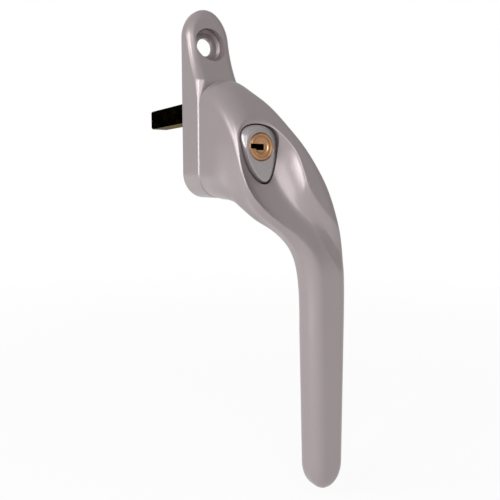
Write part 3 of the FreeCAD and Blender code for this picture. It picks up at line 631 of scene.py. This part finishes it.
def buildSpring():
    # a round wire carried along a helix, its end turns closed up
    along = np.linspace(0, 1, spring["steps"])
    swing = 2 * math.pi * spring["turns"] * along
    wire = spring["wire"]
    share = np.clip((along * spring["turns"] - spring["closed"])
                    / (spring["turns"] - 2 * spring["closed"]), 0, 1)
    level = spring["rear"] + wire + (spring["front"] - spring["rear"] - 2 * wire) * share
    turn = np.linspace(0, 2 * math.pi, spring["sides"], endpoint=False)
    radius = spring["radius"] + wire * np.cos(turn)[None, :]
    p = level[:, None] + wire * np.sin(turn)[None, :]
    piece = gridPiece("push_spring", spot(lock["x"] + radius * np.cos(swing)[:, None],
                                          lock["z"] + radius * np.sin(swing)[:, None], p),
                      capStart=True, capEnd=True)
    soften(piece, 60)
    return piece


springPiece = buildSpring()
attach(springPiece, "lever")
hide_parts("button_spring")
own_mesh(springPiece)
print("lock made")


# Materials
class Flow:
    # a socket that takes part in sums; each sum adds its Math node
    def __init__(self, tree, socket):
        self.tree = tree
        self.socket = socket

    def maths(self, operation, *others):
        node = self.tree.nodes.new("ShaderNodeMath")
        node.operation = operation
        for i, value in enumerate((self,) + others):
            feed(self.tree, node.inputs[i], value)
        return Flow(self.tree, node.outputs[0])

    def __add__(self, other):
        return self.maths("ADD", other)

    def __sub__(self, other):
        return self.maths("SUBTRACT", other)

    def __rsub__(self, other):
        return (self * -1.0).maths("ADD", other)

    def __mul__(self, other):
        return self.maths("MULTIPLY", other)

    def __pow__(self, other):
        return self.maths("POWER", other)

    def clamp(self):
        return self.maths("MAXIMUM", 0.0).maths("MINIMUM", 1.0)


def feed(tree, socket, value):
    # links a socket or sets a plain value
    if isinstance(value, Flow):
        tree.links.new(value.socket, socket)
    elif isinstance(value, bpy.types.NodeSocket):
        tree.links.new(value, socket)
    elif hasattr(value, "__len__") and len(value) == 3 and socket.type == "RGBA":
        socket.default_value = (*value, 1.0)
    else:
        socket.default_value = value


class Finish:
    # one material and its principled shader
    def __init__(self, name, **fixed):
        self.material = bpy.data.materials.new(name)
        self.material.use_nodes = True
        self.tree = self.material.node_tree
        self.shader = self.tree.nodes["Principled BSDF"]
        for socket, value in fixed.items():
            feed(self.tree, self.shader.inputs[socket.replace("_", " ")], value)
        self.place = self.node("ShaderNodeTexCoord").outputs["Object"]

    def node(self, kind, settings=None, inputs=None):
        made = self.tree.nodes.new(kind)
        for key, value in (settings or {}).items():
            if key == "stops":
                ramp = made.color_ramp
                while len(ramp.elements) < len(value):
                    ramp.elements.new(0.5)
                for element, (position, colour) in zip(ramp.elements, value):
                    element.position = position
                    element.color = (*colour, 1.0)
            else:
                setattr(made, key, value)
        for key, value in (inputs or {}).items():
            feed(self.tree, made.inputs[key], value)
        return made

    def noise(self, scale, detail=2.0, rough=0.5, stretch=(1, 1, 1), seed=(0, 0, 0)):
        moved = self.node("ShaderNodeMapping", None, {
            "Vector": self.place, "Scale": stretch, "Location": seed}).outputs[0]
        made = self.node("ShaderNodeTexNoise", None, {
            "Vector": moved, "Scale": scale, "Detail": detail, "Roughness": rough})
        return Flow(self.tree, made.outputs["Fac"])

    def ramp(self, value, stops):
        return self.node("ShaderNodeValToRGB", {"stops": stops}, {"Fac": value}).outputs[0]

    def blend(self, share, first, second):
        # inputs 0, 6 and 7 are the share and the two colours, output 2 is the mixed colour
        made = self.node("ShaderNodeMix", {"data_type": "RGBA"})
        feed(self.tree, made.inputs[0], share)
        feed(self.tree, made.inputs[6], first)
        feed(self.tree, made.inputs[7], second)
        return made.outputs[2]

    def put(self, socket, value):
        feed(self.tree, self.shader.inputs[socket], value)

    def bump(self, height, strength, distance):
        made = self.node("ShaderNodeBump", None, {
            "Height": height, "Strength": strength, "Distance": distance})
        self.put("Normal", made.outputs[0])

    def along(self):
        split = self.node("ShaderNodeSeparateXYZ", None, {"Vector": self.place})
        return [Flow(self.tree, split.outputs[i]) for i in range(3)]


# Scales are in repeats for a metre, depths are shares, and bump is how strong the relief is
bumpDistance = 0.0001
paintSet = {"drift": 55, "flakes": 5200, "wear": 240, "peel": 900, "ior": 1.45,
            "flakeGain": 2.2, "flakeLight": 1.07, "wearDepth": 0.06, "peelShare": 0.85,
            "flakeShare": 0.15, "bump": 0.03}
brassLook = {"rings": 14500.0, "bands": 5200.0, "bandShift": 1.3, "stain": 900,
             "bandShare": 0.55, "stainShare": 0.5, "dark": (0.3, 0.14, 0.065),
             "pale": (0.66, 0.4, 0.22), "keyway": (0.004, 0.003, 0.003), "keyDeep": 0.0004,
             "keyFade": 2600.0, "keyReach": 3.9e-3, "keyEdge": 4000.0, "ringRough": 0.10,
             "stainRough": 0.14, "rough": 0.22, "bump": 0.12}
steelLook = {"blot": 420, "lines": 2600, "spots": 1500, "blotShare": 0.7, "spotShare": 0.3,
             "film": [(0.42, (0.004, 0.004, 0.002)), (0.54, (0.012, 0.010, 0.004)),
                      (0.62, (0.07, 0.052, 0.016)), (0.74, (0.3, 0.22, 0.08))],
             "flatLevel": 0.0034, "flatEdge": 12000.0, "floorReflectShare": 0.9,
             "floorReflectTone": (0.55, 0.47, 0.3), "lineRough": 0.12, "blotRough": 0.15,
             "rough": 0.2, "bump": 0.15}
metalSet = {"grainShare": 0.6, "cloudShare": 0.4, "cloudScale": 0.12, "grainRough": 0.2,
            "bump": 0.1}


def silverPaint(name, tone, warm, metal, rough):
    # satin metallic lacquer: fine flakes, slow tone drift and a faint orange peel
    paint = Finish(name, Metallic=metal, IOR=paintSet["ior"])
    drift = paint.noise(paintSet["drift"], 3.0, 0.5)
    flakes = paint.noise(paintSet["flakes"], 1.0, 0.6, seed=(3, 1, 7))
    light = [min(c * paintSet["flakeLight"], 1) for c in tone]
    colour = paint.blend(drift, tone, warm)
    colour = paint.blend(((flakes - 0.5) * paintSet["flakeGain"]).clamp(), colour, light)
    paint.put("Base Color", colour)
    wear = paint.noise(paintSet["wear"], 4.0, 0.6, seed=(9, 2, 4))
    paint.put("Roughness", (wear - 0.5) * paintSet["wearDepth"] + rough)
    peel = paint.noise(paintSet["peel"], 2.0, 0.5, seed=(1, 5, 2))
    paint.bump(peel * paintSet["peelShare"] + flakes * paintSet["flakeShare"],
               paintSet["bump"], bumpDistance)
    return paint.material


def turnedBrass(name):
    # rings left by the tool, round the lock's axis, with darker tarnish between them, and painted
    # shade down the keyway
    look = brassLook
    brass = Finish(name, Metallic=1.0)
    x, y, z = brass.along()
    dx, dz = x - lock["x"] * 0.001, z - lock["z"] * 0.001
    radius = (dx * dx + dz * dz) ** 0.5
    rings = (radius * look["rings"]).maths("SINE") * 0.5 + 0.5
    wide = (radius * look["bands"] + look["bandShift"]).maths("SINE") * 0.5 + 0.5
    stain = brass.noise(look["stain"], 4.0, 0.6)
    tarnish = (wide * look["bandShare"] + stain * look["stainShare"]).clamp()
    colour = brass.blend(tarnish, look["dark"], look["pale"])
    # painted shade: deeper than keyDeep behind the face and within keyReach of the axis, the
    # keyway's walls are painted near black
    behind = ((y + lock["face"] * 0.001 - look["keyDeep"]) * look["keyFade"]).clamp()
    inside = ((look["keyReach"] - radius) * look["keyEdge"]).clamp()
    colour = brass.blend(behind * inside, colour, look["keyway"])
    brass.put("Base Color", colour)
    brass.put("Roughness", rings * look["ringRough"] + stain * look["stainRough"]
              + look["rough"])
    brass.bump(rings * 0.6 + stain * 0.4, look["bump"], bumpDistance)
    return brass.material


def passivated(name):
    # near-black olive film on steel with gold mottling and drawn lines
    look = steelLook
    steel = Finish(name, Metallic=1.0, Specular_Tint=(0.1, 0.08, 0.05))
    blot = steel.noise(look["blot"], 5.0, 0.7, stretch=(1, 0.35, 1))
    lines = steel.noise(look["lines"], 2.0, 0.5, stretch=(1, 0.05, 1), seed=(4, 0, 2))
    spots = steel.noise(look["spots"], 3.0, 0.6, seed=(2, 8, 1))
    colour = steel.ramp(blot * look["blotShare"] + spots * look["spotShare"], look["film"])
    z = steel.along()[2]
    # painted reflection: the lower flat is painted paler, standing in for the white floor it
    # reflects
    under = ((z * -1.0 - look["flatLevel"]) * look["flatEdge"]).clamp()
    colour = steel.blend(under * look["floorReflectShare"], colour, look["floorReflectTone"])
    steel.put("Base Color", colour)
    steel.put("Roughness", lines * look["lineRough"] + blot * look["blotRough"]
              + look["rough"])
    steel.bump(lines * 0.6 + spots * 0.4, look["bump"], bumpDistance)
    return steel.material


def plainMetal(name, dark, pale, rough, scale, stretch=(1, 1, 1), metal=1.0):
    # bright, cast or stamped metal with its own grain
    metalwork = Finish(name, Metallic=metal)
    grain = metalwork.noise(scale, 4.0, 0.6, stretch=stretch)
    cloud = metalwork.noise(scale * metalSet["cloudScale"], 2.0, 0.5, seed=(5, 5, 5))
    mottle = (grain * metalSet["grainShare"] + cloud * metalSet["cloudShare"]).clamp()
    metalwork.put("Base Color", metalwork.blend(mottle, dark, pale))
    metalwork.put("Roughness", grain * metalSet["grainRough"] + rough)
    metalwork.bump(grain, metalSet["bump"], bumpDistance)
    return metalwork.material


paintMain = silverPaint("silver_lacquer", (0.285, 0.245, 0.252), (0.315, 0.272, 0.275),
                        0.5, 0.29)
# painted light: the button wears the lever's lacquer made lighter, standing in for the light on
# its flank
paintButtonPaintedLight = silverPaint("button_lacquer_painted_light", (0.31, 0.28, 0.282), (0.34, 0.312, 0.314),
                          0.5, 0.27)
brassFinish = turnedBrass("turned_brass")
spindleFinish = passivated("passivated_steel")
springFinish = plainMetal("spring_wire", (0.32, 0.32, 0.33), (0.5, 0.5, 0.5), 0.2, 1500)
castFinish = plainMetal("plain_casting", (0.2, 0.2, 0.205), (0.34, 0.34, 0.345), 0.38, 900)
coverFinish = plainMetal("zinc_sheet", (0.42, 0.43, 0.44), (0.6, 0.61, 0.62), 0.22, 1200,
                         stretch=(1, 1, 0.08))
plasticFinish = plainMetal("moulded_nylon", (0.6, 0.6, 0.57), (0.75, 0.75, 0.72), 0.4, 600,
                           metal=0.0)
waferFinish = plainMetal("stamped_wafer", (0.05, 0.035, 0.02), (0.12, 0.085, 0.045),
                         0.3, 2000)

finishes = {
    "lever_casting": paintMain, "base_casting": paintMain, "button_casting": paintButtonPaintedLight,
    "barrel_turned": brassFinish, "plug_turned": brassFinish,
    "bearing_bush": castFinish, "detent_cam": castFinish, "rear_cover": coverFinish,
    "detent_plunger_upper": plasticFinish, "detent_plunger_lower": plasticFinish,
    "detent_spring_upper": springFinish, "detent_spring_lower": springFinish,
    "button_spring": springFinish, "push_spring": springFinish,
    "retaining_clip": springFinish, "stop_clip": springFinish,
    "spindle": spindleFinish, "spindle_pin": springFinish, "plug_pin": springFinish,
    "locking_bolt": springFinish, "barrel_sleeve": brassFinish, "lock_wafers": waferFinish,
    "base_plate": paintMain, "lever": paintMain, "lock_button": paintButtonPaintedLight,
    "lock_barrel": brassFinish, "lock_plug": brassFinish,
}
for name, material in finishes.items():
    piece = bpy.data.objects[name]
    piece.data.materials.clear()
    piece.data.materials.append(material)
print("materials assigned")

# Room: pale floor, white background, soft lamps
# The floor glows a little less near the part, so that its shadow shows there.
room = {"floorZ": -0.1335, "floorHalf": 3.0, "floorTone": 0.86, "floorRough": 0.9,
        "world": 0.52, "glowNear": 0.88, "glowStart": 0.1, "glowRise": 2.5}
lamps = {
    "leftLamp": {"place": (-0.85, -0.26, 0.05), "aim": (0.0, -0.02, -0.04),
                 "size": (0.3, 1.2), "power": 8.0},
    "sideLamp": {"place": (-0.9, 0.16, 0.0), "aim": (0.0, -0.01, -0.04),
                 "size": (0.4, 1.0), "power": 5.0},
    "frontLamp": {"place": (-0.42, -0.8, 0.34), "aim": (0.0, -0.02, -0.04),
                  "size": (0.8, 0.7), "power": 4.0},
}


def whiteRays(finish):
    # 1 for rays from the camera and for reflections and refractions
    path = finish.node("ShaderNodeLightPath")
    seen = Flow(finish.tree, path.outputs["Is Camera Ray"])
    seen = seen.maths("MAXIMUM", Flow(finish.tree, path.outputs["Is Glossy Ray"]))
    return seen.maths("MAXIMUM", Flow(finish.tree, path.outputs["Is Transmission Ray"]))


def buildFloor():
    half, level = room["floorHalf"], room["floorZ"]
    points = np.array([[-half, -half, level], [half, -half, level], [half, half, level],
                       [-half, half, level]])
    floor = addMesh("floor", points, [[0, 1, 2, 3]])
    look = Finish("floor_paint", Roughness=room["floorRough"])
    look.put("Base Color", (room["floorTone"],) * 3)
    glow = look.node("ShaderNodeEmission", None, {"Color": (1, 1, 1), "Strength": 1.0})
    mixed = look.node("ShaderNodeMixShader")
    x, y = look.along()[:2]
    away = (((x * x + y * y) ** 0.5 - room["glowStart"]) * room["glowRise"]).clamp()
    glowShare = away * (1.0 - room["glowNear"]) + room["glowNear"]
    feed(look.tree, mixed.inputs[0], whiteRays(look) * glowShare)
    feed(look.tree, mixed.inputs[1], look.shader.outputs[0])
    feed(look.tree, mixed.inputs[2], glow.outputs[0])
    output = look.tree.nodes["Material Output"]
    look.tree.links.new(mixed.outputs[0], output.inputs["Surface"])
    floor.data.materials.append(look.material)


def buildWorld():
    world = bpy.data.worlds.new("studio")
    world.use_nodes = True
    bpy.context.scene.world = world
    tree = world.node_tree
    path = tree.nodes.new("ShaderNodeLightPath")
    seen = Flow(tree, path.outputs["Is Camera Ray"])
    background = tree.nodes["Background"]
    background.inputs["Color"].default_value = (1, 1, 1, 1)
    strength = seen * (1.0 - room["world"]) + room["world"]
    tree.links.new(strength.socket, background.inputs["Strength"])


def softLamp(name, place, aim, size, power):
    lampData = bpy.data.lights.new(name, "AREA")
    lampData.shape = "RECTANGLE"
    lampData.size, lampData.size_y = size
    lampData.energy = power
    lamp = bpy.data.objects.new(name, lampData)
    lamp.location = place
    lamp.rotation_mode = "QUATERNION"
    lamp.rotation_quaternion = (Vector(aim) - Vector(place)).to_track_quat("-Z", "Y")
    bpy.context.scene.collection.objects.link(lamp)


buildFloor()
buildWorld()
for name, settings in lamps.items():
    softLamp(name, **settings)
print("room lit")

print("done")
